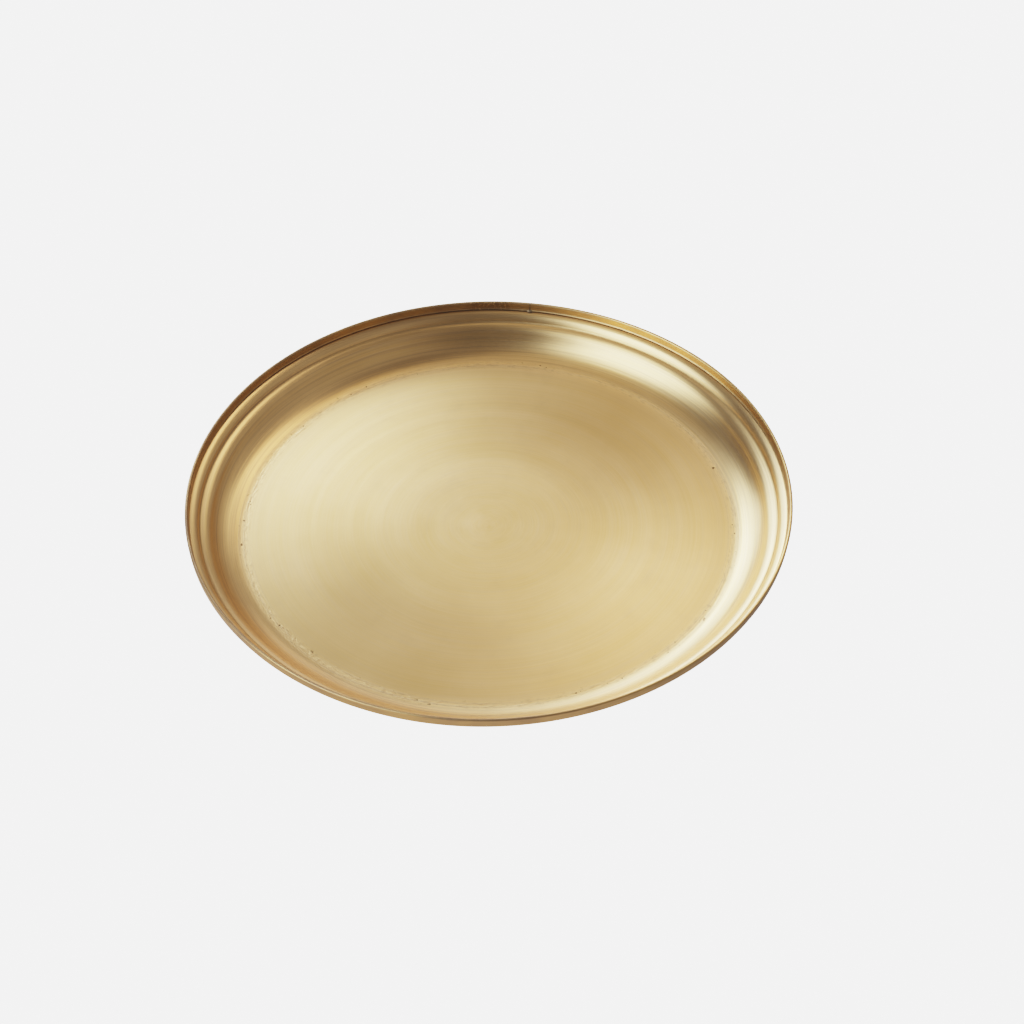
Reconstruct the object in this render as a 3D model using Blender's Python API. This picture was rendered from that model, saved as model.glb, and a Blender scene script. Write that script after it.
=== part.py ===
"""Round brass serving tray.

The pan is spun from one sheet of brass: a flat floor, a hollow curve (the cove) that rolls over a
soft shoulder, a raised bead, and an upright flange. A strip of thinner brass is folded over the
flange to make the rim. The strip's two ends meet at the back in a butt joint, and a tack of hard
solder holds them there.

The tray stands on Z = 0 with its axis on Z. Sections are drawn as (radius, height) points, from the
axis outwards. Lengths are in metres.
"""

import math

import bmesh
import bpy
from mathutils import Matrix, Vector

# Overall sizes
RIM_DIAMETER = 0.300  # across the outside of the rim
HEIGHT = 0.0215  # underside of the floor to the top of the rim
WALL_WIDTH = 0.0285  # edge of the flat floor to the outside of the rim, seen from above

# The spun pan
SHEET = 0.0006
SHOULDER_RADIUS = 0.008  # where the wall rolls over towards the bead
SHOULDER_SLOPE = math.radians(8)  # the slope the shoulder has left where the bead begins
BEAD_WIDTH = 0.0053  # seen from above, shoulder to flange
BEAD_RISE = 0.0042
BEAD_BULGE = 0.0011  # how far the bead stands out of the straight line between its two edges

# The folded rim strip
LIP_HEIGHT = 0.0048  # bead to the top of the rim
LIP_LEAN = math.radians(6)  # outwards, from upright
STRIP = 0.00035
FIT = 0.00015  # between the strip and the pan, on every side
OUTER_LEG_SHORT = 0.0006  # how much higher the strip ends outside than inside

# The joint in the strip
JOINT_ANGLE = math.radians(81)  # round from +X
JOINT_GAP = 0.0002
TACK_LENGTH = 0.003  # along the rim
TACK_LEG = 0.0010  # up the strip, and in over the bead

# Fineness of the curves
TURNS = 96  # facets round the tray
COVE_STEPS = 7
SHOULDER_STEPS = 3
BEAD_STEPS = 6
CROWN_STEPS = 6
TACK_STEPS = 3

SHARP = math.radians(30)  # edges that turn more than this are shaded as creases

AXIS = Vector((0, 0, 1))
QUARTER = math.pi / 2
MERGE = 1e-6


def clear_scene():
    for thing in list(bpy.data.objects):
        bpy.data.objects.remove(thing, do_unlink=True)


def brass(name, colour, roughness):
    material = bpy.data.materials.new(name)
    material.use_nodes = True
    surface = material.node_tree.nodes["Principled BSDF"]
    surface.inputs["Base Color"].default_value = (*colour, 1)
    surface.inputs["Roughness"].default_value = roughness
    surface.inputs["Metallic"].default_value = 1
    return material


def arc(centre, radius, first, last, steps):
    """Points on a circle from one angle to another, both ends included."""
    angles = (first + (last - first) * step / steps for step in range(steps + 1))
    return [centre + radius * Vector((math.cos(a), math.sin(a))) for a in angles]


def facet_sag(radius):
    """How far the middle of a facet lies inside the true circle."""
    return radius * (1 - math.cos(math.pi / TURNS))


class Lip:
    """The rim's own frame: its crown centre, and the directions along and across the fold."""

    half = SHEET / 2 + FIT + STRIP
    crown = Vector((RIM_DIAMETER / 2 - half, HEIGHT - half))
    up = Vector((math.sin(LIP_LEAN), math.cos(LIP_LEAN)))
    out = Vector((math.cos(LIP_LEAN), -math.sin(LIP_LEAN)))
    depth = (LIP_HEIGHT - half) / math.cos(LIP_LEAN)  # crown centre to the foot of the flange

    @classmethod
    def at(cls, across, down):
        """The point this far outwards from the fold's middle and this far down it."""
        return cls.crown + cls.out * across - cls.up * down


def bead_arc(start, end):
    """The raised bead between its two edges, bulging upwards and inwards."""
    chord = end - start
    half_turn = 2 * math.atan(2 * BEAD_BULGE / chord.length)
    radius = chord.length / (2 * math.sin(half_turn))
    side = Vector((chord.y, -chord.x)).normalized()  # down and outwards, away from the bulge
    centre = (start + end) / 2 + side * radius * math.cos(half_turn)
    middle = math.atan2(-side.y, -side.x)
    return arc(centre, radius, middle + half_turn, middle - half_turn, BEAD_STEPS)


def wall_arcs(start, end):
    """The cove, rising from flat, then the shoulder, which rolls over to SHOULDER_SLOPE."""
    run = end.x - start.x + SHOULDER_RADIUS * math.sin(SHOULDER_SLOPE)
    rise = end.y - start.y + SHOULDER_RADIUS * (1 - math.cos(SHOULDER_SLOPE))
    steepest = 2 * math.atan(rise / run)
    cove_radius = run / math.sin(steepest) - SHOULDER_RADIUS
    above = start + Vector((0, cove_radius))
    cove = arc(above, cove_radius, -QUARTER, steepest - QUARTER, COVE_STEPS)
    below = end - SHOULDER_RADIUS * Vector((-math.sin(SHOULDER_SLOPE), math.cos(SHOULDER_SLOPE)))
    last = QUARTER + SHOULDER_SLOPE
    shoulder = arc(below, SHOULDER_RADIUS, QUARTER + steepest, last, SHOULDER_STEPS)
    return cove + shoulder[1:]


def offset(line, distance):
    """The line moved to its right, with its corners mitred. A start on the axis stays on it."""
    moved = []
    for i, point in enumerate(line):
        steps = [line[j + 1] - line[j] for j in (i - 1, i) if 0 <= j < len(line) - 1]
        sides = [Vector((step.y, -step.x)).normalized() for step in steps]
        mitre = sum(sides, Vector((0, 0)))
        moved.append(point + mitre * distance * len(sides) / mitre.length_squared)
    return moved


def upper_line():
    """The upper face of the sheet, from the axis to the top of the flange."""
    flange_foot = Lip.at(-SHEET / 2, Lip.depth)
    crease = flange_foot - Vector((BEAD_WIDTH, BEAD_RISE))
    floor_edge = Vector((RIM_DIAMETER / 2 - WALL_WIDTH, SHEET))
    line = [Vector((0, SHEET))]
    line += wall_arcs(floor_edge, crease)
    line += bead_arc(crease, flange_foot)[1:]
    line.append(Lip.at(-SHEET / 2, 0))
    return line


def pan_section():
    upper = upper_line()
    return upper + offset(upper, SHEET)[::-1]


def strip_section():
    """The folded strip: down outside the flange, over its top and down inside."""
    inner_end = Lip.depth - FIT
    outer_end = inner_end - OUTER_LEG_SHORT
    start, turn = -LIP_LEAN, math.pi
    outside = arc(Lip.crown, Lip.half, start, start + turn, CROWN_STEPS)
    inside = arc(Lip.crown, Lip.half - STRIP, start + turn, start, CROWN_STEPS)
    inner_leg = [Lip.at(-Lip.half, inner_end), Lip.at(STRIP - Lip.half, inner_end)]
    outer_leg = [Lip.at(Lip.half - STRIP, outer_end), Lip.at(Lip.half, outer_end)]
    return outside + inner_leg + inside + outer_leg


def tack_section():
    """A fillet in the corner between the strip and the bead, its face hollowed."""
    gap = FIT + facet_sag(RIM_DIAMETER / 2)
    corner = Lip.at(-Lip.half - gap, Lip.depth) + Vector((0, gap))
    up_strip = corner + Lip.up * TACK_LEG
    over_bead = corner - Vector((TACK_LEG, 0))
    hollow = (up_strip + over_bead + corner) / 3
    return [corner, over_bead, hollow, up_strip]


def turned(name, section, material, closed=True, sweep=2 * math.pi, middle=0.0, steps=TURNS):
    """The section swept round the Z axis. A section that is not closed ends on the axis."""
    mesh = bpy.data.meshes.new(name)
    bm = bmesh.new()
    points = [bm.verts.new((p.x, 0, p.y)) for p in section]
    ends = list(zip(points, points[1:]))
    if closed:
        ends.append((points[-1], points[0]))
    edges = [bm.edges.new(pair) for pair in ends]
    start = Matrix.Rotation(middle - sweep / 2, 4, "Z")
    bmesh.ops.transform(bm, matrix=start, verts=points)
    bmesh.ops.spin(bm, geom=points + edges, cent=(0, 0, 0), axis=AXIS, angle=sweep, steps=steps)
    bmesh.ops.remove_doubles(bm, verts=bm.verts, dist=MERGE)
    bmesh.ops.holes_fill(bm, edges=bm.edges, sides=0)
    bmesh.ops.recalc_face_normals(bm, faces=bm.faces)
    bm.to_mesh(mesh)
    bm.free()
    mesh.shade_smooth()
    mesh.set_sharp_from_angle(angle=SHARP)
    mesh.materials.append(material)
    piece = bpy.data.objects.new(name, mesh)
    bpy.context.collection.objects.link(piece)
    return piece


def joint_cutter():
    """A thin upright blade across the strip, for the gap between its two ends."""
    reach = 3 * LIP_HEIGHT  # well past the strip on every side
    bpy.ops.mesh.primitive_cube_add(size=1)
    blade = bpy.context.object
    blade.name = "joint_cutter"
    blade.data.transform(Matrix.Diagonal((reach, JOINT_GAP, reach, 1)))
    blade.location = Matrix.Rotation(JOINT_ANGLE, 3, "Z") @ Vector((RIM_DIAMETER / 2, 0, HEIGHT))
    blade.rotation_euler.z = JOINT_ANGLE
    blade.hide_render = True
    blade.display_type = "WIRE"
    return blade


def make_pan():
    return turned("tray_pan", pan_section(), brass("satin_brass", (0.62, 0.45, 0.20), 0.32), False)


def make_strip():
    strip = turned("rim_strip", strip_section(), brass("aged_brass", (0.52, 0.35, 0.15), 0.38))
    cut = strip.modifiers.new("joint", "BOOLEAN")
    cut.operation = "DIFFERENCE"
    cut.solver = "EXACT"
    cut.object = joint_cutter()
    return strip


def make_tack():
    solder = brass("hard_solder", (0.78, 0.68, 0.48), 0.45)
    sweep = TACK_LENGTH / (RIM_DIAMETER / 2)
    return turned("joint_tack", tack_section(), solder, True, sweep, JOINT_ANGLE, TACK_STEPS)


clear_scene()
make_pan()
make_strip()
make_tack()
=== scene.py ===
"""Round brass serving tray, finished: a spun pan, the strip folded over its edge, and the tack of
hard solder that closes the strip.

The pan and the strip are sections turned round the Z axis. A section is drawn as (radius, height)
points, from the axis outwards, and a Geometry Nodes tree turns it and gives it the unevenness of
hand work: a rim that is not quite round, a lean that changes round the tray, shallow spinning
rings. Each point of a turned mesh keeps the (radius, height) it was drawn at in an attribute, and
the materials use it to find the creases, the foot of the wall and the crown of the rim.

Lengths are in metres and angles in radians. The tray stands on Z = 0 with its axis on Z.
"""

import math
from typing import NamedTuple

import bmesh
import bpy
from mathutils import Matrix, Vector


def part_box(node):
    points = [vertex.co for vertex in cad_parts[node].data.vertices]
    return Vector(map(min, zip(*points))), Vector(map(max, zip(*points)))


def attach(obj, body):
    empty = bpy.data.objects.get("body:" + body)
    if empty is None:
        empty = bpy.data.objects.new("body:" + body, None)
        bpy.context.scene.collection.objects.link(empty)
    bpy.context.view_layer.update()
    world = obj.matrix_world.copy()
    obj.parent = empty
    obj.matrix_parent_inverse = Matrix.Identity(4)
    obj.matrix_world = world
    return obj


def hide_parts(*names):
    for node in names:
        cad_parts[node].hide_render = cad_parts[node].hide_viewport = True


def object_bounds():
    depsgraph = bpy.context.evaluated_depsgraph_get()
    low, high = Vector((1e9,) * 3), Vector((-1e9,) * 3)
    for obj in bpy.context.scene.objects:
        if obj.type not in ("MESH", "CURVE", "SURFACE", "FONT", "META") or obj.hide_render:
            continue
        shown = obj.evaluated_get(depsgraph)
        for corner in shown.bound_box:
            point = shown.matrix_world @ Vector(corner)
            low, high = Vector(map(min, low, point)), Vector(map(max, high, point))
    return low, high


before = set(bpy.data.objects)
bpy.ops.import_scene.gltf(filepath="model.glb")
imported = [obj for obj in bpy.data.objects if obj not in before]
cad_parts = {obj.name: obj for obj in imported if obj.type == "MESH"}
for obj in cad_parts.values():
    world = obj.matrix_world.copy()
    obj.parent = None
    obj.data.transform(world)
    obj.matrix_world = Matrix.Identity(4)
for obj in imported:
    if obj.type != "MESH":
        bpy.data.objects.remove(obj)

bl_info = {
    "name": "Brass Tray",
    "version": (1, 0, 0),
    "blender": (4, 5, 0),
    "location": "3D View > Sidebar > Brass Tray",
    "description": "Makes a spun brass serving tray with a folded rim, and the studio it stands in",
    "category": "Add Mesh",
}

CAD_LOW, CAD_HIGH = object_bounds()
TACK_LOW, TACK_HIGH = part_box("joint_tack")
TACK_MIDDLE = (TACK_LOW + TACK_HIGH) / 2
BODY = "root"
DRAWN_AT = "drawn_at"  # the attribute that holds a point's (radius, 0, height) in its section

QUARTER = math.pi / 2
FULL_TURN = 2 * math.pi
MERGE = 1e-6
SHARP = math.radians(35)  # edges that turn more than this are shaded as creases


# --- What a user would change ---------------------------------------------------------------


def length(name, description, default):
    return bpy.props.FloatProperty(
        name=name, description=description, default=default, min=0, precision=5,
        subtype="DISTANCE", unit="LENGTH")


def angle(name, description, degrees):
    return bpy.props.FloatProperty(
        name=name, description=description, default=math.radians(degrees),
        subtype="ANGLE", unit="ROTATION")


def colour(name, description, default):
    return bpy.props.FloatVectorProperty(
        name=name, description=description, default=default, size=3, min=0, max=1,
        subtype="COLOR")


def factor(name, description, default):
    return bpy.props.FloatProperty(
        name=name, description=description, default=default, min=0, max=1, subtype="FACTOR")


class TraySizes(bpy.types.PropertyGroup):
    """The tray's own sizes."""

    rim_diameter: length("Rim diameter", "Across the outside of the rim", CAD_HIGH.x - CAD_LOW.x)
    height: length("Height", "Underside of the floor to the top of the rim", CAD_HIGH.z)
    wall_width: length("Wall width", "Edge of the floor to the outside of the rim", 0.0285)
    sheet: length("Sheet", "Thickness of the spun sheet", 0.0006)
    shoulder_radius: length("Shoulder radius", "Where the wall rolls over to the bead", 0.008)
    shoulder_slope: angle("Shoulder slope", "Slope left where the bead begins", 8)
    bead_width: length("Bead width", "Shoulder to flange, from above", 0.0053)
    bead_rise: length("Bead rise", "Shoulder to flange, upwards", 0.0042)
    bead_bulge: length("Bead bulge", "How far the bead stands out of its own chord", 0.0011)
    crease_ease: length("Crease ease", "How far the crease below the bead is rounded", 0.0009)
    lip_height: length("Lip height", "Bead to the top of the rim", 0.0048)
    lip_lean: angle("Lip lean", "Outward lean of the lip, from upright", 6)
    edge_flare: length("Edge flare", "How far the strip's lower edge stands in", 0.00042)
    strip: length("Strip", "Thickness of the folded strip", 0.00035)
    fit: length("Fit", "Space between the strip and the pan", 0.00015)
    outer_leg_short: length("Outer leg short", "How much higher the strip ends outside", 0.0006)
    joint_angle: angle(
        "Joint angle", "Where the strip's ends meet, round from +X",
        math.degrees(math.atan2(TACK_MIDDLE.y, TACK_MIDDLE.x)))
    joint_gap: length("Joint gap", "Between the strip's two ends", 0.0002)
    tack_length: length("Tack length", "Solder tack, along the rim", 0.003)
    tack_leg: length("Tack leg", "Solder tack, up the strip and over the bead", 0.0010)


class HandWork(bpy.types.PropertyGroup):
    """How far the tray is from a perfect turned shape."""

    out_of_round: length("Out of round", "Largest departure of the rim from a circle", 0.0004)
    lean_swing: angle("Lean swing", "How much the lip's lean changes round the tray", 1.5)
    spin_rings: length("Spinning rings", "Height of the shallow rings left by the tool", 0.00003)
    floor_swell: length("Floor swell", "Height of the floor's broad unevenness", 0.00012)
    edge_waves: length("Edge waves", "How far the strip's lower edge wanders", 0.00022)
    seed: bpy.props.IntProperty(name="Seed", description="Picks the unevenness", default=7)


class TrayFinish(bpy.types.PropertyGroup):
    """Colours and gloss of the metal."""

    brass: colour("Brass", "Clean satin brass", (0.76, 0.51, 0.21))
    pale_brass: colour("Pale brass", "Brass rubbed brighter", (0.84, 0.59, 0.285))
    # Tarnish colour, which also paints the shade on the left of the strip's crown
    tarnish_and_shade: colour("Tarnish", "Thin brown tarnish", (0.36, 0.245, 0.145))
    # Dark oxide colour, which also paints the shade in the creases and beside the strip's inner
    # edge
    oxide_and_shade: colour("Oxide", "Dark oxide in creases and pits", (0.11, 0.055, 0.02))
    solder: colour("Solder", "Silver-bearing hard solder", (0.26, 0.185, 0.105))
    roughness: factor("Roughness", "Roughness of the satin finish", 0.29)
    brushing: factor("Brushing", "How strongly the turned finish stretches highlights", 0.55)


class Studio(bpy.types.PropertyGroup):
    """The room round the tray."""

    backdrop: colour("Backdrop", "Radiance of the pale floor and backdrop", (1, 1, 1))
    backdrop_strength: bpy.props.FloatProperty(
        name="Backdrop strength", description="Brightness of the floor and backdrop",
        default=2.38, min=0)
    floor_shade: colour("Floor shade", "What the metal sees of the floor", (0.85, 0.78, 0.78))
    light: bpy.props.FloatProperty(
        name="Light", description="Brightness of the soft lights", default=1.0, min=0)


# --- Node trees -----------------------------------------------------------------------------


class Socket:
    """An output of a node. Arithmetic on it adds the Math nodes that work the sum out."""

    def __init__(self, graph, socket):
        self.graph = graph
        self.socket = socket

    def beside(self, name):
        """Another output of the same node."""
        return Socket(self.graph, find_socket(self.socket.node.outputs, name))

    def __add__(self, other):
        return self.graph.maths("ADD", self, other)

    def __radd__(self, other):
        return self.graph.maths("ADD", other, self)

    def __sub__(self, other):
        return self.graph.maths("SUBTRACT", self, other)

    def __rsub__(self, other):
        return self.graph.maths("SUBTRACT", other, self)

    def __mul__(self, other):
        return self.graph.maths("MULTIPLY", self, other)

    def __truediv__(self, other):
        return self.graph.maths("DIVIDE", self, other)

    def __mod__(self, other):
        return self.graph.maths("FLOORED_MODULO", self, other)

    def __pow__(self, other):
        return self.graph.maths("POWER", self, other)

    def __abs__(self):
        return self.graph.maths("ABSOLUTE", self)


def find_socket(sockets, key):
    """A socket by its number, its identifier or its name."""
    if isinstance(key, int):
        return sockets[key]
    for socket in sockets:
        if socket.identifier == key:
            return socket
    return sockets[key]


class Graph:
    """A node tree that is being built."""

    def __init__(self, tree):
        self.tree = tree

    def add(self, kind, settings=(), inputs=(), output=0):
        """A new node: its type, its settings, what its sockets take, and the output wanted."""
        node = self.tree.nodes.new(kind)
        for name, value in dict(settings).items():
            setattr(node, name, value)
        for key, value in dict(inputs).items():
            socket = find_socket(node.inputs, key)
            if isinstance(value, Socket):
                self.tree.links.new(value.socket, socket)
            else:
                socket.default_value = value
        return Socket(self, find_socket(node.outputs, output)) if len(node.outputs) else None

    def maths(self, operation, *values):
        """One Math node: "SQRT", "COSINE" and the like."""
        return self.add("ShaderNodeMath", {"operation": operation}, dict(enumerate(values)))

    def xyz(self, x, y, z):
        return self.add("ShaderNodeCombineXYZ", (), {0: x, 1: y, 2: z})

    def split(self, vector):
        x = self.add("ShaderNodeSeparateXYZ", (), {0: vector})
        return x, x.beside(1), x.beside(2)

    def noise(self, vector, seed, detail=2.0, roughness=0.5):
        """Noise from 0 to 1 about 0.5, one feature to each unit of the vector."""
        inputs = {"Vector": vector, "W": seed, "Scale": 1.0, "Detail": detail,
                  "Roughness": roughness}
        return self.add("ShaderNodeTexNoise", {"noise_dimensions": "4D"}, inputs, "Fac")

    def scaled(self, vector, scale):
        inputs = {"Vector": vector, "Scale": scale}
        return self.add("ShaderNodeVectorMath", {"operation": "SCALE"}, inputs)

    def step(self, value, low, high):
        """0 at low and 1 at high, with a smooth step between them."""
        inputs = {"Value": value, "From Min": low, "From Max": high}
        return self.add("ShaderNodeMapRange", {"interpolation_type": "SMOOTHSTEP"}, inputs)

    def band(self, value, middle, half_width, softness):
        """1 near the middle and 0 away from it."""
        return 1 - self.step(abs(value - middle), half_width - softness, half_width + softness)

    def blend(self, mask, first, second):
        """The first colour where the mask is 0, the second where it is 1."""
        inputs = {"Factor_Float": mask, "A_Color": opaque(first), "B_Color": opaque(second)}
        settings = {"data_type": "RGBA", "clamp_factor": True}
        return self.add("ShaderNodeMix", settings, inputs, "Result_Color")


def opaque(value):
    """A colour with its alpha, or a socket as it is."""
    return value if isinstance(value, Socket) else (*value, 1)


# --- Sections -------------------------------------------------------------------------------


def arc(centre, radius, first, last, steps):
    """Points on a circle from one angle to another, both ends included."""
    angles = (first + (last - first) * step / steps for step in range(steps + 1))
    return [centre + radius * Vector((math.cos(a), math.sin(a))) for a in angles]


def line(first, last, steps):
    """Points on a straight line, without its first."""
    return [first.lerp(last, step / steps) for step in range(1, steps + 1)]


def offset(points, distance):
    """The line moved to its right, with its corners mitred. A start on the axis stays on it."""
    moved = []
    for i, point in enumerate(points):
        steps = [points[j + 1] - points[j] for j in (i - 1, i) if 0 <= j < len(points) - 1]
        sides = [Vector((step.y, -step.x)).normalized() for step in steps]
        mitre = sum(sides, Vector((0, 0)))
        moved.append(point + mitre * distance * len(sides) / mitre.length_squared)
    return moved


class Lip:
    """The rim's own frame: its crown centre, and the directions along and across the fold."""

    def __init__(self, sizes):
        lean = sizes.lip_lean
        self.half = sizes.sheet / 2 + sizes.fit + sizes.strip
        self.crown = Vector((sizes.rim_diameter / 2 - self.half, sizes.height - self.half))
        self.up = Vector((math.sin(lean), math.cos(lean)))
        self.out = Vector((math.cos(lean), -math.sin(lean)))
        self.depth = (sizes.lip_height - self.half) / math.cos(lean)

    def at(self, across, down):
        """The point this far outwards from the fold's middle and this far down it."""
        return self.crown + self.out * across - self.up * down


class Marks(NamedTuple):
    """The places in the section that the shape and the finish are worked out from."""

    floor_edge: Vector
    crease: Vector  # where the shoulder meets the bead
    flange_foot: Vector  # where the bead meets the lip


def section_marks(sizes):
    lip = Lip(sizes)
    flange_foot = lip.at(-sizes.sheet / 2, lip.depth)
    crease = flange_foot - Vector((sizes.bead_width, sizes.bead_rise))
    floor_edge = Vector((sizes.rim_diameter / 2 - sizes.wall_width, sizes.sheet))
    return Marks(floor_edge, crease, flange_foot)


# Fineness of the sections
FLOOR_STEPS = 24
COVE_STEPS = 22
SHOULDER_STEPS = 10
BEAD_STEPS = 14
CROWN_STEPS = 10
LEG_STEPS = 5
EASE_STEPS = 8
FLARE_STEPS = 5
FLANGE_STEPS = 2
TACK_FACE_STEPS = 3
TACK_LEG_STEPS = 4

FLARE_HEIGHT = 0.0009  # how far above its edge the strip begins to flare in


def wall_arcs(sizes, start, end):
    """The cove, rising from flat, then the shoulder, which rolls over to its last slope."""
    slope, radius = sizes.shoulder_slope, sizes.shoulder_radius
    run = end.x - start.x + radius * math.sin(slope)
    rise = end.y - start.y + radius * (1 - math.cos(slope))
    steepest = 2 * math.atan(rise / run)
    cove_radius = run / math.sin(steepest) - radius
    above = start + Vector((0, cove_radius))
    cove = arc(above, cove_radius, -QUARTER, steepest - QUARTER, COVE_STEPS)
    below = end - radius * Vector((-math.sin(slope), math.cos(slope)))
    shoulder = arc(below, radius, QUARTER + steepest, QUARTER + slope, SHOULDER_STEPS)
    return cove + shoulder[1:]


def bead_arc(bulge, start, end):
    """The raised bead between its two edges, bulging upwards and inwards."""
    chord = end - start
    half_turn = 2 * math.atan(2 * bulge / chord.length)
    radius = chord.length / (2 * math.sin(half_turn))
    side = Vector((chord.y, -chord.x)).normalized()
    centre = (start + end) / 2 + side * radius * math.cos(half_turn)
    middle = math.atan2(-side.y, -side.x)
    return arc(centre, radius, middle + half_turn, middle - half_turn, BEAD_STEPS)


def eased(points, corner, reach):
    """The line with a corner rounded off, from this far before it to this far after it."""
    close = [i for i, point in enumerate(points) if (point - corner).length < reach]
    start, end = points[close[0] - 1], points[close[-1] + 1]
    shares = [step / EASE_STEPS for step in range(1, EASE_STEPS)]
    curve = [start.lerp(corner, t).lerp(corner.lerp(end, t), t) for t in shares]
    return points[:close[0]] + curve + points[close[-1] + 1:]


def pan_section(sizes):
    """The sheet's upper face from the axis to the top of the flange, and its lower face back."""
    lip, marks = Lip(sizes), section_marks(sizes)
    middle = Vector((0, sizes.sheet))
    upper = [middle] + line(middle, marks.floor_edge, FLOOR_STEPS)
    upper += wall_arcs(sizes, marks.floor_edge, marks.crease)[1:]
    upper += bead_arc(sizes.bead_bulge, marks.crease, marks.flange_foot)[1:]
    upper = eased(upper, marks.crease, sizes.crease_ease)
    upper += line(marks.flange_foot, lip.at(-sizes.sheet / 2, 0), FLANGE_STEPS)
    return upper + offset(upper, sizes.sheet)[::-1]


def strip_edge(sizes, lip, end):
    """The strip's inner lower edge: it flares in from the lip, then rounds under."""
    round_off = sizes.strip / 2
    middle = -lip.half - sizes.edge_flare + round_off
    flare_top = end - FLARE_HEIGHT
    down = [(1 - math.cos(math.pi * step / FLARE_STEPS)) / 2 for step in range(FLARE_STEPS + 1)]
    shift = [-sizes.edge_flare * share for share in down]
    levels = [flare_top + (end - round_off - flare_top) * step / FLARE_STEPS
              for step in range(FLARE_STEPS + 1)]
    face = [lip.at(-lip.half + s, level) for s, level in zip(shift, levels)]
    back = [lip.at(sizes.strip - lip.half + s, level) for s, level in zip(shift, levels)]
    turns = [math.pi * step / FLARE_STEPS for step in range(1, FLARE_STEPS)]
    under = [lip.at(middle - round_off * math.cos(a), end - round_off + round_off * math.sin(a))
             for a in turns]
    return face + under + back[::-1]


def strip_section(sizes):
    """The folded strip: over the top, down inside, back up within, and down outside."""
    lip = Lip(sizes)
    half, inner = lip.half, lip.half - sizes.strip
    inner_end = lip.depth - sizes.fit
    outer_end = inner_end - sizes.outer_leg_short
    start, turn = -sizes.lip_lean, math.pi
    outside = arc(lip.crown, half, start, start + turn, CROWN_STEPS)
    inside = arc(lip.crown, inner, start + turn, start, CROWN_STEPS)
    edge = strip_edge(sizes, lip, inner_end)
    points = outside + line(outside[-1], edge[0], LEG_STEPS) + edge[1:]
    points += line(points[-1], inside[0], LEG_STEPS) + inside[1:]
    points += line(inside[-1], lip.at(inner, outer_end), LEG_STEPS)
    points.append(lip.at(half, outer_end))
    return points + line(points[-1], outside[0], LEG_STEPS)


def tack_section(sizes):
    """A fillet in the corner between the strip and the bead, its face hollowed."""
    lip = Lip(sizes)
    corner = lip.at(-lip.half - sizes.fit, lip.depth) + Vector((0, sizes.fit))
    up_strip = corner + lip.up * sizes.tack_leg
    over_bead = corner - Vector((sizes.tack_leg, 0))
    hollow = (up_strip + over_bead + corner) / 3
    points = [corner] + line(corner, over_bead, TACK_LEG_STEPS)
    points += line(over_bead, hollow, TACK_FACE_STEPS)
    points += line(hollow, up_strip, TACK_FACE_STEPS)
    return points + line(up_strip, corner, TACK_LEG_STEPS)


# --- Turning a section ----------------------------------------------------------------------


class TurningTree:
    """A Geometry Nodes tree that turns its input, a section drawn as edges, round the Z axis."""

    def __init__(self, name):
        self.tree = bpy.data.node_groups.new(name, "GeometryNodeTree")
        self.graph = Graph(self.tree)
        self.inputs = {}
        self.declare("Section", "NodeSocketGeometry")
        self.tree.interface.new_socket("Turned", in_out="OUTPUT", socket_type="NodeSocketGeometry")

    def declare(self, name, kind="NodeSocketFloat"):
        socket = self.tree.interface.new_socket(name, in_out="INPUT", socket_type=kind)
        self.inputs[name] = socket.identifier
        return socket

    def apply(self, piece, values):
        """Turns the piece's section, and leaves a plain mesh with no modifier."""
        modifier = piece.modifiers.new("turning", "NODES")
        modifier.node_group = self.tree
        for name, value in values.items():
            modifier[self.inputs[name]] = value
        graph = bpy.context.evaluated_depsgraph_get()
        turned = bpy.data.meshes.new_from_object(piece.evaluated_get(graph))
        piece.modifiers.clear()
        drawn = piece.data
        piece.data = turned
        bpy.data.meshes.remove(drawn)


# How closely the unevenness of hand work repeats: to the metre, or as the radius of the circle
# that the noise is read on, one feature to the unit
RINGS_PER_METRE = 130
SWELLS_PER_METRE = 22
RINGS_CIRCLE = 0.6
SLOW_WAVES_CIRCLE = 5
QUICK_WAVES_CIRCLE = 26

ANGLES = ("First angle", "Sweep", "Lean swing")
LENGTHS = ("Rim radius", "Foot height", "Top height", "Out of round", "Spinning rings",
           "Floor swell", "Edge waves", "Edge flare")


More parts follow.
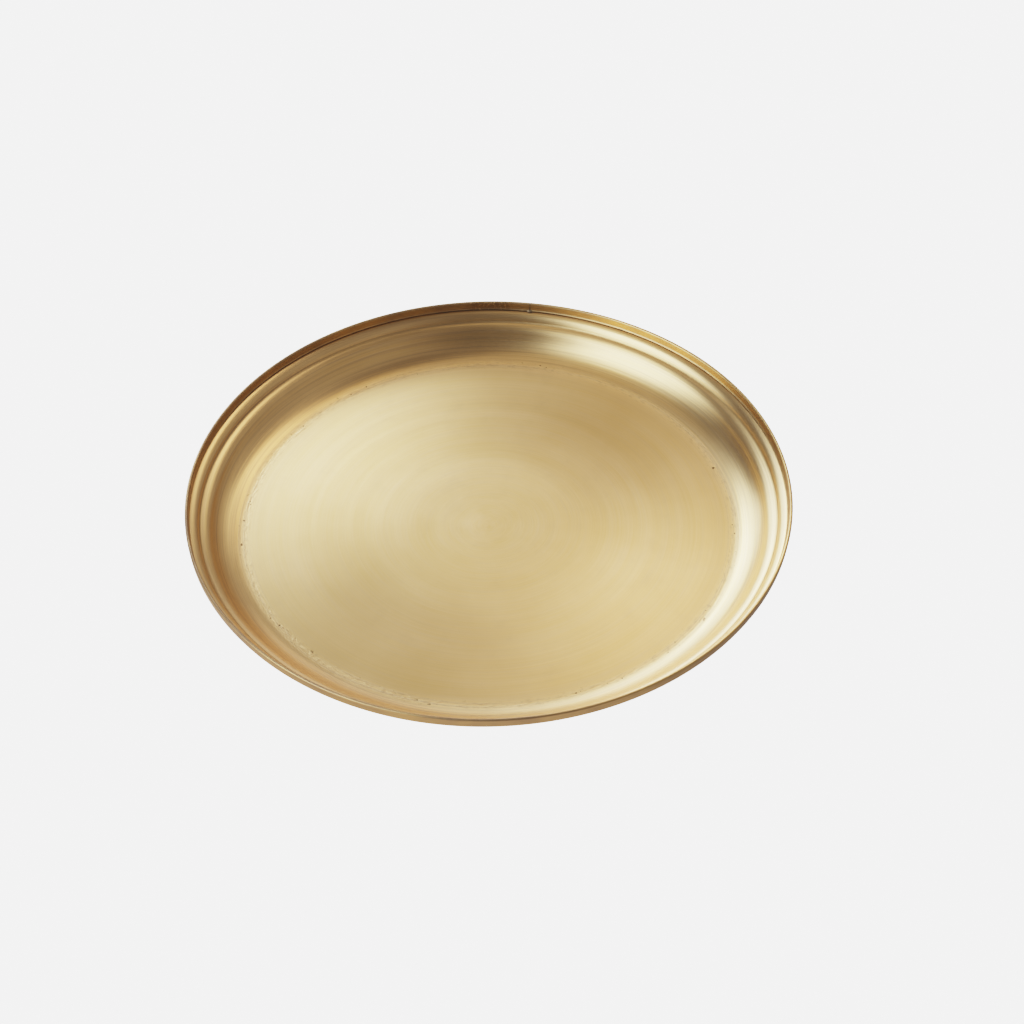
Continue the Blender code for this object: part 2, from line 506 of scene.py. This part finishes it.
def turning_tree(name, shape_edge=None):
    """The tree for one piece. shape_edge may move the section's points before they are turned."""
    tree = TurningTree(name)
    graph = tree.graph
    tree.declare("Turns", "NodeSocketInt")
    tree.declare("Seed", "NodeSocketInt")
    tree.declare("Material", "NodeSocketMaterial")
    for label in ANGLES:
        tree.declare(label).subtype = "ANGLE"
    for label in LENGTHS:
        tree.declare(label).subtype = "DISTANCE"

    given = graph.add("NodeGroupInput")
    turns, seed = given.beside("Turns"), given.beside("Seed")
    count = graph.add("GeometryNodeAttributeDomainSize", (), {"Geometry": given})
    sheet_of_faces = graph.add("GeometryNodeMeshGrid", (), {
        "Size X": 1.0, "Size Y": 1.0, "Vertices X": turns + 1, "Vertices Y": count})
    index = graph.add("GeometryNodeInputIndex")
    around = graph.maths("FLOOR", (index + 0.5) / count) / turns
    along = index % count
    drawn = graph.add(
        "GeometryNodeSampleIndex", {"data_type": "FLOAT_VECTOR", "domain": "POINT"},
        {"Geometry": given, "Value": graph.add("GeometryNodeInputPosition"), "Index": along})
    turn = given.beside("First angle") + given.beside("Sweep") * around
    cosine, sine = graph.maths("COSINE", turn), graph.maths("SINE", turn)
    radius, _, height = graph.split(drawn)
    if shape_edge:
        radius, height = shape_edge(graph, given, radius, height, around, cosine, sine)

    # Out of round, most at the rim: two lobes and three lobes, set at odd angles
    rim_radius = given.beside("Rim radius")
    lobes = graph.maths("COSINE", turn * 2 + 0.9) * 0.6
    lobes = lobes + graph.maths("COSINE", turn * 3 - 0.4) * 0.4
    share = (radius / rim_radius) ** 3
    grown = radius + lobes * given.beside("Out of round") * share

    # The lip leans out more on one side than on the other
    foot = given.beside("Foot height")
    above_foot = graph.maths("MAXIMUM", height - foot, 0.0)
    grown = grown + above_foot * given.beside("Lean swing") * cosine

    # Shallow rings from the tool, and a broad swell in the floor
    circle = graph.xyz(cosine * RINGS_CIRCLE, sine * RINGS_CIRCLE, radius * RINGS_PER_METRE)
    rings = graph.noise(circle, seed, 1.5)
    wide = radius * SWELLS_PER_METRE
    swell = graph.noise(graph.xyz(cosine * wide, sine * wide, 3.0), seed, 1.0)
    on_wall = 1 - graph.step(height, foot - 0.001, foot)
    lifted = height + (rings - 0.5) * 2 * given.beside("Spinning rings") * on_wall
    inside = 1 - graph.step(radius / rim_radius, 0.55, 0.8)
    lifted = lifted + swell * given.beside("Floor swell") * inside

    place = graph.xyz(grown * cosine, grown * sine, lifted)
    turned = graph.add("GeometryNodeSetPosition", (), {
        "Geometry": sheet_of_faces, "Position": place})
    turned = graph.add(
        "GeometryNodeStoreNamedAttribute", {"data_type": "FLOAT_VECTOR", "domain": "POINT"},
        {"Geometry": turned, "Name": DRAWN_AT, "Value": drawn})
    closed = graph.add("GeometryNodeMergeByDistance", (), {"Geometry": turned, "Distance": MERGE})
    real = graph.add("GeometryNodeRealizeInstances", (), {"Geometry": closed})
    finished = graph.add("GeometryNodeSetMaterial", (), {
        "Geometry": real, "Material": given.beside("Material")})
    graph.add("NodeGroupOutput", (), {0: finished})
    return tree


def draw_section(name, points):
    """A section as a mesh of edges in the XZ plane, on an object at the origin."""
    mesh = bpy.data.meshes.new(name)
    vertices = [(p.x, 0, p.y) for p in points]
    mesh.from_pydata(vertices, [(i, i + 1) for i in range(len(points) - 1)], [])
    piece = bpy.data.objects.new(name, mesh)
    bpy.context.scene.collection.objects.link(piece)
    return piece


def close_and_shade(piece):
    """Closes the ends of a part turn, points the faces outwards and shades the mesh smooth."""
    bm = bmesh.new()
    bm.from_mesh(piece.data)
    bmesh.ops.remove_doubles(bm, verts=bm.verts, dist=MERGE)
    bmesh.ops.dissolve_degenerate(bm, dist=MERGE, edges=bm.edges)
    bmesh.ops.holes_fill(bm, edges=[e for e in bm.edges if e.is_boundary], sides=0)
    bmesh.ops.recalc_face_normals(bm, faces=bm.faces)
    bm.to_mesh(piece.data)
    bm.free()
    piece.data.shade_smooth()
    piece.data.set_sharp_from_angle(angle=SHARP)


def turned_piece(name, points, tree, material, context, turns, first=0.0, sweep=FULL_TURN):
    sizes, work = context.scene.tray_sizes, context.scene.tray_hand_work
    piece = draw_section(name, points)
    tree.apply(piece, {
        "Turns": turns,
        "Seed": work.seed,
        "Material": material,
        "First angle": first,
        "Sweep": sweep,
        "Lean swing": work.lean_swing,
        "Rim radius": sizes.rim_diameter / 2,
        "Foot height": section_marks(sizes).flange_foot.y,
        "Top height": sizes.height,
        "Out of round": work.out_of_round,
        "Spinning rings": work.spin_rings,
        "Floor swell": work.floor_swell,
        "Edge waves": work.edge_waves,
        "Edge flare": sizes.edge_flare,
    })
    close_and_shade(piece)
    return piece


def keep(piece, node):
    """Puts a finished piece in the place of the plain solid it stands for."""
    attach(piece, BODY)
    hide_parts(node)


# --- Materials ------------------------------------------------------------------------------


class Surface:
    """A metal material being built, and the coordinates that its patterns are drawn on."""

    def __init__(self, name):
        self.material = bpy.data.materials.new(name)
        self.material.use_nodes = True
        self.material.node_tree.nodes.clear()
        self.graph = Graph(self.material.node_tree)
        place = self.graph.add("ShaderNodeTexCoord", (), (), "Object")
        self.place = place
        x, y, _ = self.graph.split(place)
        from_axis = self.graph.maths("SQRT", x * x + y * y)
        self.distance = self.graph.maths("MAXIMUM", from_axis, MERGE)
        self.cosine, self.sine = x / self.distance, y / self.distance
        drawn = self.graph.add("ShaderNodeAttribute", {"attribute_name": DRAWN_AT}, (), "Vector")
        self.radius, _, self.height = self.graph.split(drawn)

    def turned(self, radial_size, turn_size, seed, detail=2.0, roughness=0.5):
        """Noise drawn out round the tray: its grain across a line in metres, along it in turns."""
        stretch = 1 / (turn_size * FULL_TURN)
        across = (self.radius + self.height * 0.7) / radial_size
        vector = self.graph.xyz(self.cosine * stretch, self.sine * stretch, across)
        return self.graph.noise(vector, seed, detail, roughness)

    def cloud(self, size, seed, detail=3.0, roughness=0.5):
        """Noise that looks the same in every direction, with a grain of this size."""
        return self.graph.noise(self.graph.scaled(self.place, 1 / size), seed, detail, roughness)

    def at_angle(self, angle, half_width, softness):
        """1 within this many metres of an angle round the tray, measured along the rim."""
        aside = (self.sine * math.cos(angle) - self.cosine * math.sin(angle)) * self.distance
        ahead = self.cosine * math.cos(angle) + self.sine * math.sin(angle)
        return self.graph.band(aside, 0.0, half_width, softness) * self.graph.step(ahead, 0, 0.1)

    def near(self, mark, reach):
        """1 on a line round the tray at this place in the section, 0 beyond its reach."""
        across, up = self.radius - mark.x, self.height - mark.y
        away = self.graph.maths("SQRT", across * across + up * up)
        return 1 - self.graph.step(away, 0.0, reach)

    def metal(self, base, roughness, bump, brushing):
        return self.graph.add("ShaderNodeBsdfPrincipled", (), {
            "Base Color": base, "Metallic": 1.0, "Roughness": roughness, "Normal": bump,
            "Anisotropic": brushing, "Anisotropic Rotation": 0.25})

    def finish(self, base, roughness, relief, brushing=0.0, brushed=1.0):
        """The shader. The relief is a height in metres, and brushed a mask of the turned finish."""
        bump = self.graph.add("ShaderNodeBump", (), {"Strength": 1.0, "Distance": 1.0,
                                                     "Height": relief})
        shader = self.metal(base, roughness, bump, 0.0)
        if brushing:
            turned = self.metal(base, roughness, bump, brushing)
            shader = self.graph.add("ShaderNodeMixShader", (), {0: brushed, 1: shader, 2: turned})
        self.graph.add("ShaderNodeOutputMaterial", (), {"Surface": shader})
        return self.material


# Turned patterns: their grain across the lines in metres, and along them in turns
FINE_LINES = (0.00045, 0.10)
LINES = (0.0013, 0.12)
RINGS = (0.011, 0.4)
CHATTER = (0.0009, 0.004)
STRIP_LINES = (0.0007, 0.05)
STRIP_PATCHES = (0.02, 0.03)

# Clouded patterns: their grain in metres
CLOUDS = 0.05
BLOTCHES = 0.012
SPOTS = 0.0021
SPECKLE = 0.0012

CREASE_OXIDE_AND_SHADE = 0.0014  # how far oxide and painted shade reach from the crease below the bead
LIP_FOOT_OXIDE_AND_SHADE = 0.0013  # and from the foot of the lip, on the pan beside the strip's inner edge
CROWN_REACH = 0.0012  # how far the crown band reaches from the top of the rim, where painted shade and a painted highlight go
BRUSHED_FROM = (0.02, 0.09)  # the turned finish fades in between these radii
SMOOTHEST = 0.28  # roughness of the best rubbed places


def satin_brass(finish, marks):
    """Spun brass: turned lines, broad rings, cloudy tarnish, oxide and painted shade in the
    creases.
    """
    s = Surface("satin_brass")
    graph = s.graph
    fine = s.turned(*FINE_LINES, 1.0, 2.0)
    lines = s.turned(*LINES, 2.0, 3.0, 0.6)
    rings = s.turned(*RINGS, 3.0, 2.0)
    clouds = s.cloud(CLOUDS, 4.0, 5.0, 0.6)
    speckle = s.cloud(SPECKLE, 5.0, 2.0)
    blotches = s.cloud(BLOTCHES, 6.0, 3.0)
    chatter = s.turned(*CHATTER, 7.0, 2.0)
    spots = s.cloud(SPOTS, 8.0, 1.0)

    past_edge = s.radius - marks.floor_edge.x
    on_floor = 1 - graph.step(past_edge, -0.004, 0.002)
    foot = graph.band(past_edge, 0.0005, 0.0022, 0.0018)
    inside_foot = graph.band(past_edge, -0.005, 0.003, 0.004)
    # Oxide and painted shade: the crease below the bead and the foot of the lip are darkened
    # towards the oxide colour
    creases = s.near(marks.crease, CREASE_OXIDE_AND_SHADE) * 0.7
    creases = graph.maths("MAXIMUM", creases, s.near(marks.flange_foot, LIP_FOOT_OXIDE_AND_SHADE))

    pits = foot * graph.step(spots, 0.70, 0.76)
    pale = 0.5 + (rings - 0.5) + (clouds - 0.5) * 1.4
    pale = pale + (lines - 0.5) * (1.3 - on_floor * 0.5) + (fine - 0.5) * (2.0 - on_floor)
    base = graph.blend(pale + (1 - on_floor) * 0.4, finish.brass, finish.pale_brass)
    darkened = graph.step(blotches * 0.6 + clouds * 0.4, 0.5, 0.75) * 0.12
    darkened = darkened + graph.step(lines, 0.42, 0.70) * 0.38 * (1 - on_floor * 0.8)
    darkened = darkened + foot * graph.step(chatter, 0.50, 0.66) * 0.27 + inside_foot * 0.07
    base = graph.blend(darkened, base, finish.tarnish_and_shade)
    base = graph.blend(creases * (0.55 + (lines - 0.5) * 1.5) + pits, base, finish.oxide_and_shade)

    rough = finish.roughness + (clouds - 0.5) * 0.12 + (lines - 0.5) * 0.10 + (rings - 0.5) * 0.06
    rough = rough + creases * 0.15 + foot * (speckle - 0.4) * 0.3
    rough = graph.maths("MAXIMUM", rough, SMOOTHEST)

    relief = (fine - 0.5) * (1 - on_floor) * 0.00002 + (rings - 0.5) * 0.00010
    relief = relief + (lines - 0.5) * (0.000084 - on_floor * 0.000074)
    relief = relief + foot * ((speckle - 0.5) * 0.00005 + (chatter - 0.5) * 0.00009)
    brushed = graph.step(s.distance, *BRUSHED_FROM)
    return s.finish(base, rough, relief, finish.brushing, brushed)


# The heat-marked patch beside the joint
TORCHED_FROM_JOINT = math.radians(8.2)  # its middle, round the rim
TORCHED_HALF_LENGTH = 0.011


def aged_brass(finish, sizes):
    """The folded strip: browner than the pan, with painted shade on the left of its crown and a
    painted highlight on the right.
    """
    s = Surface("aged_brass")
    graph = s.graph
    lines = s.turned(*STRIP_LINES, 11.0, 3.0, 0.6)
    patches = s.turned(*STRIP_PATCHES, 12.0, 3.0, 0.6)
    speckle = s.cloud(SPECKLE, 13.0, 2.0)
    lip = Lip(sizes)
    crown = s.near(Vector((lip.crown.x, sizes.height)), CROWN_REACH)
    # Painted shade and painted highlight: the crown is browner on the left of the tray and paler on
    # the right
    lit_right_side = graph.step(s.cosine, -0.2, 0.8)
    darkened = 0.5 + (patches - 0.5) * 1.4 + (lines - 0.5) * 0.7 + crown * (0.4 - lit_right_side * 0.7)
    base = graph.blend(darkened, finish.brass, finish.tarnish_and_shade)
    joint = s.at_angle(sizes.joint_angle, sizes.joint_gap, 0.0003)
    torched = s.at_angle(sizes.joint_angle + TORCHED_FROM_JOINT,
                         TORCHED_HALF_LENGTH, 0.003)
    spots = graph.step(speckle, 0.5, 0.7)
    base = graph.blend(torched * (1 - spots) * 0.35 + joint, base, finish.oxide_and_shade)
    base = graph.blend(torched * spots * (0.3 + crown), base, finish.pale_brass)
    rough = finish.roughness + 0.06 + (patches - 0.5) * 0.2 + crown * (0.15 - lit_right_side * 0.2)
    relief = (lines - 0.5) * 0.00003 + (speckle - 0.5) * (0.00002 + torched * 0.00008)
    return s.finish(base, rough, relief)


def hard_solder(finish):
    """Solder that has run and frozen: pale, grainy, stained at its edges."""
    s = Surface("hard_solder")
    graph = s.graph
    grain = s.cloud(0.0004, 21.0, 3.0)
    stain = s.cloud(0.0015, 22.0, 3.0)
    base = graph.blend(graph.step(stain, 0.5, 0.7) * 0.6, finish.solder, finish.tarnish_and_shade)
    rough = 0.42 + (grain - 0.5) * 0.3
    return s.finish(base, rough, (grain - 0.5) * 0.00003)


# --- Pieces ---------------------------------------------------------------------------------

# Facets round each piece
PAN_TURNS = 480
STRIP_TURNS = 720
TACK_TURNS = 24


class TRAY_OT_pan(bpy.types.Operator):
    """Turn the spun pan: floor, cove, shoulder, bead and flange"""

    bl_idname = "brass_tray.pan"
    bl_label = "Spun pan"

    def execute(self, context):
        scene = context.scene
        marks = section_marks(scene.tray_sizes)
        material = satin_brass(scene.tray_finish, marks)
        tree = turning_tree("Spun pan")
        points = pan_section(scene.tray_sizes)
        pan = turned_piece("spun_pan", points, tree, material, context, PAN_TURNS)
        keep(pan, "tray_pan")
        return {"FINISHED"}


FOLD_MIDDLE = 0.0010  # in from the outside of the rim, half way down the lip
FLATTENED = (0.0002, 0.0009)  # how high the pressed-flat part of the flare reaches


def wavy_edge(graph, given, radius, height, around, cosine, sine):
    """Lets the lower edges of the strip wander up and down, with a small dent here and there."""
    foot, top = given.beside("Foot height"), given.beside("Top height")
    low = 1 - graph.step((height - foot) / (top - foot), 0.05, 0.75)
    circle = graph.xyz(cosine * SLOW_WAVES_CIRCLE, sine * SLOW_WAVES_CIRCLE, 1.0)
    slow = graph.noise(circle, given.beside("Seed"), 2.0)
    circle = graph.xyz(cosine * QUICK_WAVES_CIRCLE, sine * QUICK_WAVES_CIRCLE, 2.0)
    quick = graph.noise(circle, given.beside("Seed"), 2.0)
    dents = graph.step(quick, 0.56, 0.72)
    waves = ((slow - 0.35) * 1.2 + dents) * given.beside("Edge waves")
    # The flare of the inner edge was pressed flat on the left
    inwards = given.beside("Rim radius") - radius
    inner = graph.step(inwards - FOLD_MIDDLE, -0.0003, 0.0003)
    flat = (1 - graph.step(cosine, -0.2, 0.3)) * (1 - graph.step(height - foot, *FLATTENED))
    radius = radius + given.beside("Edge flare") * inner * flat
    return radius, height + waves * low


class TRAY_OT_rim_strip(bpy.types.Operator):
    """Fold the rim strip over the flange and leave its joint open"""

    bl_idname = "brass_tray.rim_strip"
    bl_label = "Folded rim strip"

    def execute(self, context):
        scene = context.scene
        sizes = scene.tray_sizes
        material = aged_brass(scene.tray_finish, sizes)
        tree = turning_tree("Folded strip", wavy_edge)
        gap = sizes.joint_gap / (sizes.rim_diameter / 2)
        strip = turned_piece("folded_rim_strip", strip_section(sizes), tree, material, context,
                             STRIP_TURNS, sizes.joint_angle + gap / 2, FULL_TURN - gap)
        keep(strip, "rim_strip")
        return {"FINISHED"}


LUMPS_PER_METRE = 900
LUMPS_ALONG = 5
TAPER = 0.96  # how far the tack draws in at its two ends: 1 would bring them to a point


class TRAY_OT_solder_tack(bpy.types.Operator):
    """Run the tack of hard solder under the joint"""

    bl_idname = "brass_tray.solder_tack"
    bl_label = "Solder tack"

    def execute(self, context):
        scene = context.scene
        sizes = scene.tray_sizes
        section = tack_section(sizes)
        corner = section[0]

        def blob(graph, given, radius, height, around, cosine, sine):
            """Draws the fillet in towards its corner at both ends, and makes it lumpy."""
            from_middle = around * 2 - 1
            full = graph.maths("SQRT", 1 - from_middle * from_middle * TAPER)
            place = graph.xyz(around * LUMPS_ALONG, radius * LUMPS_PER_METRE,
                              height * LUMPS_PER_METRE)
            lumps = graph.noise(place, 31.0, 2.0)
            full = full * (0.8 + lumps * 0.4)
            return corner.x + (radius - corner.x) * full, corner.y + (height - corner.y) * full

        tree = turning_tree("Solder tack", blob)
        sweep = sizes.tack_length / (sizes.rim_diameter / 2)
        tack = turned_piece("solder_tack", section, tree,
                            hard_solder(scene.tray_finish), context, TACK_TURNS,
                            sizes.joint_angle - sweep / 2, sweep)
        keep(tack, "joint_tack")
        return {"FINISHED"}


# --- Stage ----------------------------------------------------------------------------------

FLOOR_RADIUS = 8.0
FLOOR_DROP = 0.00005  # keeps the floor's face clear of the pan's underside
LIT_SIDE = (0.0, 0.14)  # across the floor, where its light fades towards the right
FADE = 0.5

LENS = 100.0  # millimetres
SENSOR = 36.0
CAMERA_DISTANCE = 1.4164
CAMERA_ELEVATION = math.radians(43.934)
CAMERA_ROLL = math.radians(-1.028)
AIM = Vector((0.01172, 0.00015, 0.009))

# How the camera's film answers to light: radiance that prints at half, and its contrast
FILM_HALF = 0.6
FILM_CONTRAST = 1.5
FILM_WHITE = 4.0
FILM_HAZE = 0.022  # radiance that the lens scatters over the whole picture
FILM_POINTS = 12


class Panel(NamedTuple):
    """A soft light panel, far away, seen from the tray. Angles are in degrees."""

    azimuth: float  # round from +X
    elevation: float
    half_width: float
    half_height: float
    softness: float
    strength: float
    shade: tuple


PANELS = (
    Panel(116, 14, 21, 25, 5, 2.9, (0.77, 0.92, 1.16)),  # behind, to the left
    Panel(107, 34, 13, 9, 5, 4.0, (0.76, 0.88, 1.05)),  # its brighter top
    Panel(-152, 26, 25, 36, 14, 3.7, (0.78, 0.91, 1.08)),  # in front, to the left
    Panel(64, 51, 23, 8, 5, 2.0, (1.06, 0.90, 0.76)),  # behind, high
    Panel(86, 13, 14, 12, 5, 0.9, (1.0, 0.93, 1.0)),  # behind, low
    Panel(54, 36, 11, 9, 6, 1.0, (1.0, 0.95, 0.88)),  # behind, to the right
    Panel(150, 72, 65, 14, 12, 0.50, (1.0, 0.86, 0.66)),  # overhead
    Panel(0, 25, 65, 45, 15, 0.22, (1.0, 0.94, 0.90)),  # the right-hand wall
)
ROOM = (0.19, 0.165, 0.155)  # what the metal sees between the panels


def studio_light(graph, strength):
    """The room as the metal sees it: dim walls with soft panels."""
    direction = graph.add("ShaderNodeTexCoord", (), (), "Generated")
    x, y, z = graph.split(direction)
    elevation = graph.maths("ARCSINE", z)
    light = graph.blend(0.0, ROOM, ROOM)
    for panel in PANELS:
        azimuth = math.radians(panel.azimuth)
        ahead = x * math.cos(azimuth) + y * math.sin(azimuth)
        aside = y * math.cos(azimuth) - x * math.sin(azimuth)
        turn = graph.maths("ARCTAN2", aside, ahead)
        soft = math.radians(panel.softness)
        wide = graph.band(turn, 0.0, math.radians(panel.half_width), soft)
        high = graph.band(elevation, math.radians(panel.elevation),
                          math.radians(panel.half_height), soft)
        glow = [part * panel.strength for part in panel.shade]
        light = graph.add("ShaderNodeMix", {"data_type": "RGBA", "blend_type": "ADD",
                                            "clamp_factor": False},
                          {"Factor_Float": wide * high, "A_Color": light,
                           "B_Color": opaque(glow)}, "Result_Color")
    return graph.add("ShaderNodeBackground", (), {"Color": light, "Strength": strength})


def make_world(studio):
    world = bpy.data.worlds.new("studio")
    world.use_nodes = True
    world.node_tree.nodes.clear()
    graph = Graph(world.node_tree)
    seen = graph.add("ShaderNodeBackground", (), {
        "Color": opaque(studio.backdrop), "Strength": studio.backdrop_strength})
    to_camera = graph.add("ShaderNodeLightPath", (), (), "Is Camera Ray")
    shown = graph.add("ShaderNodeMixShader", (), {
        0: to_camera, 1: studio_light(graph, studio.light), 2: seen})
    graph.add("ShaderNodeOutputWorld", (), {"Surface": shown})
    bpy.context.scene.world = world


def make_floor(studio):
    """A pale floor that glows evenly to the camera, so the tray's own shadow on it stays faint. To
    the metal it shows a painted pool of light, brighter on the left.
    """
    mesh = bpy.data.meshes.new("studio_floor")
    bm = bmesh.new()
    bmesh.ops.create_circle(bm, cap_ends=True, segments=64, radius=FLOOR_RADIUS,
                            matrix=Matrix.Translation((0, 0, -FLOOR_DROP)))
    bm.to_mesh(mesh)
    bm.free()
    floor = bpy.data.objects.new("studio_floor", mesh)
    bpy.context.scene.collection.objects.link(floor)
    material = bpy.data.materials.new("pale_floor")
    material.use_nodes = True
    material.node_tree.nodes.clear()
    graph = Graph(material.node_tree)
    seen = graph.add("ShaderNodeEmission", (), {
        "Color": opaque(studio.backdrop), "Strength": studio.backdrop_strength})
    across, _, _ = graph.split(graph.add("ShaderNodeTexCoord", (), (), "Object"))
    lit = 1 - graph.step(across, *LIT_SIDE) * FADE
    mirrored = graph.add("ShaderNodeEmission", (), {
        "Color": opaque(studio.floor_shade), "Strength": lit * studio.light})
    to_camera = graph.add("ShaderNodeLightPath", (), (), "Is Camera Ray")
    shown = graph.add("ShaderNodeMixShader", (), {0: to_camera, 1: mirrored, 2: seen})
    graph.add("ShaderNodeOutputMaterial", (), {"Surface": shown})
    mesh.materials.append(material)


def make_camera():
    data = bpy.data.cameras.new("studio_camera")
    data.lens = LENS
    data.sensor_width = SENSOR
    camera = bpy.data.objects.new("studio_camera", data)
    bpy.context.scene.collection.objects.link(camera)
    back = Vector((0, -math.cos(CAMERA_ELEVATION), math.sin(CAMERA_ELEVATION)))
    tilt = Matrix.Rotation(QUARTER - CAMERA_ELEVATION, 4, "X")
    roll = Matrix.Rotation(CAMERA_ROLL, 4, "Z")
    camera.matrix_world = Matrix.Translation(AIM + back * CAMERA_DISTANCE) @ tilt @ roll
    bpy.context.scene.camera = camera


def film(radiance):
    """What the film prints for a radiance, from 0 to 1."""
    lit = ((radiance + FILM_HAZE) / FILM_HALF) ** FILM_CONTRAST
    return lit / (lit + 1)


def develop(view):
    """Sets the picture's tone curve."""
    view.view_transform = "Standard"
    view.look = "None"
    view.use_curve_mapping = True
    mapping = view.curve_mapping
    mapping.white_level = (FILM_WHITE,) * 3
    curve = mapping.curves[3]
    for point in range(1, FILM_POINTS):
        share = (point / FILM_POINTS) ** 2
        curve.points.new(share, film(share * FILM_WHITE))
    curve.points[0].location = (0, film(0))
    curve.points[-1].location = (1, film(FILM_WHITE))
    mapping.update()


class TRAY_OT_stage(bpy.types.Operator):
    """Set the pale floor, the soft studio light and the camera"""

    bl_idname = "brass_tray.stage"
    bl_label = "Studio"

    def execute(self, context):
        studio = context.scene.tray_studio
        make_floor(studio)
        make_world(studio)
        make_camera()
        develop(context.scene.view_settings)
        return {"FINISHED"}


# --- The add-on -----------------------------------------------------------------------------

OPERATORS = (TRAY_OT_pan, TRAY_OT_rim_strip, TRAY_OT_solder_tack, TRAY_OT_stage)
GROUPS = {
    "tray_sizes": TraySizes,
    "tray_hand_work": HandWork,
    "tray_finish": TrayFinish,
    "tray_studio": Studio,
}


class TRAY_PT_panel(bpy.types.Panel):
    """The tray's sizes and colours, and a button for each piece"""

    bl_idname = "TRAY_PT_panel"
    bl_label = "Brass Tray"
    bl_space_type = "VIEW_3D"
    bl_region_type = "UI"
    bl_category = "Brass Tray"

    def draw(self, context):
        for operator in OPERATORS:
            self.layout.operator(operator.bl_idname)
        for group in GROUPS:
            box = self.layout.box()
            settings = getattr(context.scene, group)
            for name in settings.__annotations__:
                box.prop(settings, name)


def register():
    for kind in (*GROUPS.values(), *OPERATORS, TRAY_PT_panel):
        bpy.utils.register_class(kind)
    for name, kind in GROUPS.items():
        setattr(bpy.types.Scene, name, bpy.props.PointerProperty(type=kind))


def unregister():
    for name in GROUPS:
        delattr(bpy.types.Scene, name)
    for kind in (TRAY_PT_panel, *OPERATORS[::-1], *GROUPS.values()):
        bpy.utils.unregister_class(kind)


def main():
    register()
    bpy.ops.brass_tray.pan()
    bpy.ops.brass_tray.rim_strip()
    bpy.ops.brass_tray.solder_tack()
    bpy.ops.brass_tray.stage()


if __name__ == "__main__":
    main()
